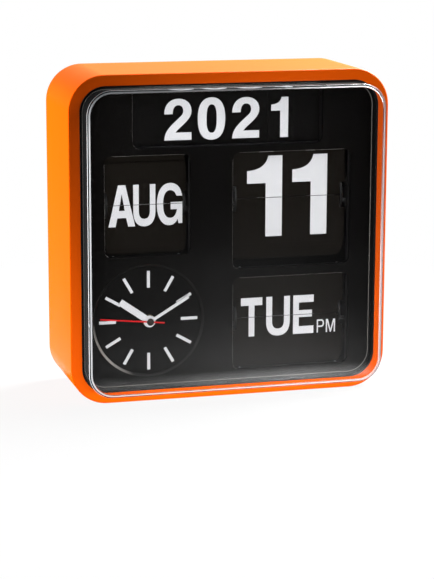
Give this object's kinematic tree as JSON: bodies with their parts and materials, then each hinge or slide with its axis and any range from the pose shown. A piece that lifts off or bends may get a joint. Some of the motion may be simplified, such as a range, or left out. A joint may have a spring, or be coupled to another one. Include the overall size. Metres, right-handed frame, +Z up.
{
  "type": "flip calendar wall clock",
  "caption": "Square round-cornered wall clock in a clear box lens, with split-flap month, date and day windows, a year card and a small analog dial; hangs from a keyhole.",
  "frame": {"origin": "on the standing surface, under the middle of the clock's box", "axes": "+X to the viewer's right, +Y from the front to the wall, +Z up"},
  "size_m": [0.24, 0.105, 0.24],
  "materials": {
    "orange_plastic": "satin moulded orange plastic",
    "clear_acrylic": "clear polished acrylic",
    "black_panel": "black satin",
    "white_print": "white",
    "red_paint": "red paint",
    "cap_brown": "dark brown plastic",
    "printed_card": "black leaf with white print",
    "black_moulding": "black moulded plastic",
    "white_moulding": "natural moulded plastic",
    "brass": "turned brass",
    "steel": "plated steel",
    "cell_jacket": "dry cell in a printed jacket",
    "board_green": "green circuit board",
    "coil_copper": "wound copper wire",
    "grey_button": "grey plastic"
  },
  "bodies": {
    "clock": {"case_shell": "orange_plastic", "back_cover": "orange_plastic", "front_lens": "clear_acrylic", "dial_panel": "black_panel", "dial_disc": "black_panel", "hour_markers": "white_print", "year_card": "printed_card", "year_digit": "printed_card", "year_holder": "black_moulding", "month_frame": "black_moulding", "date_frame": "black_moulding", "day_frame": "black_moulding", "movement_plate": "black_moulding", "movement_cover": "black_moulding", "stem_nut": "brass", "panel_screws": "steel", "back_screws": "steel", "frame_screws": "steel", "hanger_plate": "steel", "cell_contacts": "steel", "flap_motors": "steel", "calendar_cell": "cell_jacket", "clock_cell": "cell_jacket", "control_board": "board_green", "step_coil": "coil_copper"},
    "minute": {"minute_wheel": "brass", "minute_hand": "white_print"},
    "hour": {"hour_wheel": "white_moulding", "hour_hand": "white_print"},
    "second": {"second_arbor": "brass", "second_hand": "red_paint", "hand_cap": "cap_brown"},
    "third": {"third_wheel": "brass"},
    "motion": {"motion_wheel": "white_moulding"},
    "knob": {"set_knob": "black_moulding"},
    "calendar_cell_door": {"calendar_cell_door": "orange_plastic"},
    "clock_cell_door": {"clock_cell_door": "orange_plastic"},
    "month_drum": {"month_drum": "black_moulding", "month_gear": "white_moulding", "month_leaves": "printed_card"},
    "month_front_leaf": {"month_front_leaf": "printed_card"},
    "month_next_leaf": {"month_next_leaf": "printed_card"},
    "month_pinion": {"month_pinion": "brass"},
    "month_button": {"month_button": "grey_button"},
    "date_drum": {"date_drum": "black_moulding", "date_gear": "white_moulding", "date_leaves": "printed_card"},
    "date_front_leaf": {"date_front_leaf": "printed_card"},
    "date_next_leaf": {"date_next_leaf": "printed_card"},
    "date_pinion": {"date_pinion": "brass"},
    "date_button": {"date_button": "grey_button"},
    "day_drum": {"day_drum": "black_moulding", "day_gear": "white_moulding", "day_leaves": "printed_card"},
    "day_front_leaf": {"day_front_leaf": "printed_card"},
    "day_next_leaf": {"day_next_leaf": "printed_card"},
    "day_pinion": {"day_pinion": "brass"},
    "day_button": {"day_button": "grey_button"}
  },
  "joints": [
    {"name": "minute_turn", "type": "hinge", "parent": "clock", "child": "minute", "pos_m": [-0.061, -0.026, 0.0592], "axis": [0, 1, 0], "continuous": true},
    {"name": "hour_turn", "type": "hinge", "parent": "clock", "child": "hour", "pos_m": [-0.061, -0.026, 0.0592], "axis": [0, 1, 0], "continuous": true},
    {"name": "second_turn", "type": "hinge", "parent": "clock", "child": "second", "pos_m": [-0.061, -0.026, 0.0592], "axis": [0, 1, 0], "continuous": true},
    {"name": "third_turn", "type": "hinge", "parent": "clock", "child": "third", "pos_m": [-0.07324, -0.026, 0.0592], "axis": [0, 1, 0], "continuous": true},
    {"name": "motion_turn", "type": "hinge", "parent": "clock", "child": "motion", "pos_m": [-0.0526, -0.026, 0.0592], "axis": [0, 1, 0], "continuous": true},
    {"name": "knob_turn", "type": "hinge", "parent": "clock", "child": "knob", "pos_m": [-0.04378, -0.026, 0.0592], "axis": [0, 1, 0], "continuous": true},
    {"name": "month_flip", "type": "hinge", "parent": "clock", "child": "month_drum", "pos_m": [-0.06135, -0.00784, 0.1437], "axis": [1, 0, 0], "range_deg": [0, 30]},
    {"name": "month_front_fall", "type": "hinge", "parent": "month_drum", "child": "month_front_leaf", "pos_m": [-0.06135, -0.0175, 0.14629], "axis": [1, 0, 0], "range_deg": [0, 150.01]},
    {"name": "month_next_rise", "type": "hinge", "parent": "month_drum", "child": "month_next_leaf", "pos_m": [-0.06135, -0.01491, 0.15077], "axis": [1, 0, 0], "range_deg": [-30.01, 0]},
    {"name": "month_pinion_turn", "type": "hinge", "parent": "clock", "child": "month_pinion", "pos_m": [-0.06135, 0.01056, 0.1437], "axis": [1, 0, 0], "range_deg": [-108.01, 0]},
    {"name": "date_flip", "type": "hinge", "parent": "clock", "child": "date_drum", "pos_m": [0.0476, -0.00158, 0.1451], "axis": [1, 0, 0], "range_deg": [0, 11.61]},
    {"name": "date_front_fall", "type": "hinge", "parent": "date_drum", "child": "date_front_leaf", "pos_m": [0.0476, -0.0175, 0.14672], "axis": [1, 0, 0], "range_deg": [0, 168.4]},
    {"name": "date_next_rise", "type": "hinge", "parent": "date_drum", "child": "date_next_leaf", "pos_m": [0.0476, -0.01685, 0.14989], "axis": [1, 0, 0], "range_deg": [-11.62, 0]},
    {"name": "date_pinion_turn", "type": "hinge", "parent": "clock", "child": "date_pinion", "pos_m": [0.0476, 0.01682, 0.1451], "axis": [1, 0, 0], "range_deg": [-41.82, 0]},
    {"name": "day_flip", "type": "hinge", "parent": "clock", "child": "day_drum", "pos_m": [0.0478, -0.00678, 0.0552], "axis": [1, 0, 0], "range_deg": [0, 25.71]},
    {"name": "day_front_fall", "type": "hinge", "parent": "day_drum", "child": "day_front_leaf", "pos_m": [0.0478, -0.0175, 0.05765], "axis": [1, 0, 0], "range_deg": [0, 154.3]},
    {"name": "day_next_rise", "type": "hinge", "parent": "day_drum", "child": "day_next_leaf", "pos_m": [0.0478, -0.01538, 0.06206], "axis": [1, 0, 0], "range_deg": [-25.72, 0]},
    {"name": "day_pinion_turn", "type": "hinge", "parent": "clock", "child": "day_pinion", "pos_m": [0.0478, 0.01162, 0.0552], "axis": [1, 0, 0], "range_deg": [-92.58, 0]},
    {"name": "month_press", "type": "slide", "parent": "clock", "child": "month_button", "axis": [0, -1, 0], "range_m": [0, 0.0012], "stiffness_N_per_m": 300},
    {"name": "date_press", "type": "slide", "parent": "clock", "child": "date_button", "axis": [0, -1, 0], "range_m": [0, 0.0012], "stiffness_N_per_m": 300},
    {"name": "day_press", "type": "slide", "parent": "clock", "child": "day_button", "axis": [0, -1, 0], "range_m": [0, 0.0012], "stiffness_N_per_m": 300},
    {"name": "calendar_cell_door_lift", "type": "slide", "parent": "clock", "child": "calendar_cell_door", "axis": [0, 1, 0], "range_m": [0, 0.03]},
    {"name": "clock_cell_door_lift", "type": "slide", "parent": "clock", "child": "clock_cell_door", "axis": [0, 1, 0], "range_m": [0, 0.03]}
  ],
  "couplings": [
    {"joint": "hour_turn", "follows": "minute_turn", "ratio": 0.083333},
    {"joint": "second_turn", "follows": "minute_turn", "ratio": 60},
    {"joint": "third_turn", "follows": "minute_turn", "ratio": -8},
    {"joint": "motion_turn", "follows": "minute_turn", "ratio": -0.33333},
    {"joint": "knob_turn", "follows": "minute_turn", "ratio": 0.83333},
    {"joint": "month_front_fall", "follows": "month_flip", "ratio": 5},
    {"joint": "month_next_rise", "follows": "month_flip", "ratio": -1},
    {"joint": "month_pinion_turn", "follows": "month_flip", "ratio": -3.6},
    {"joint": "date_front_fall", "follows": "date_flip", "ratio": 14.5},
    {"joint": "date_next_rise", "follows": "date_flip", "ratio": -1},
    {"joint": "date_pinion_turn", "follows": "date_flip", "ratio": -3.6},
    {"joint": "day_front_fall", "follows": "day_flip", "ratio": 6},
    {"joint": "day_next_rise", "follows": "day_flip", "ratio": -1},
    {"joint": "day_pinion_turn", "follows": "day_flip", "ratio": -3.6}
  ]
}
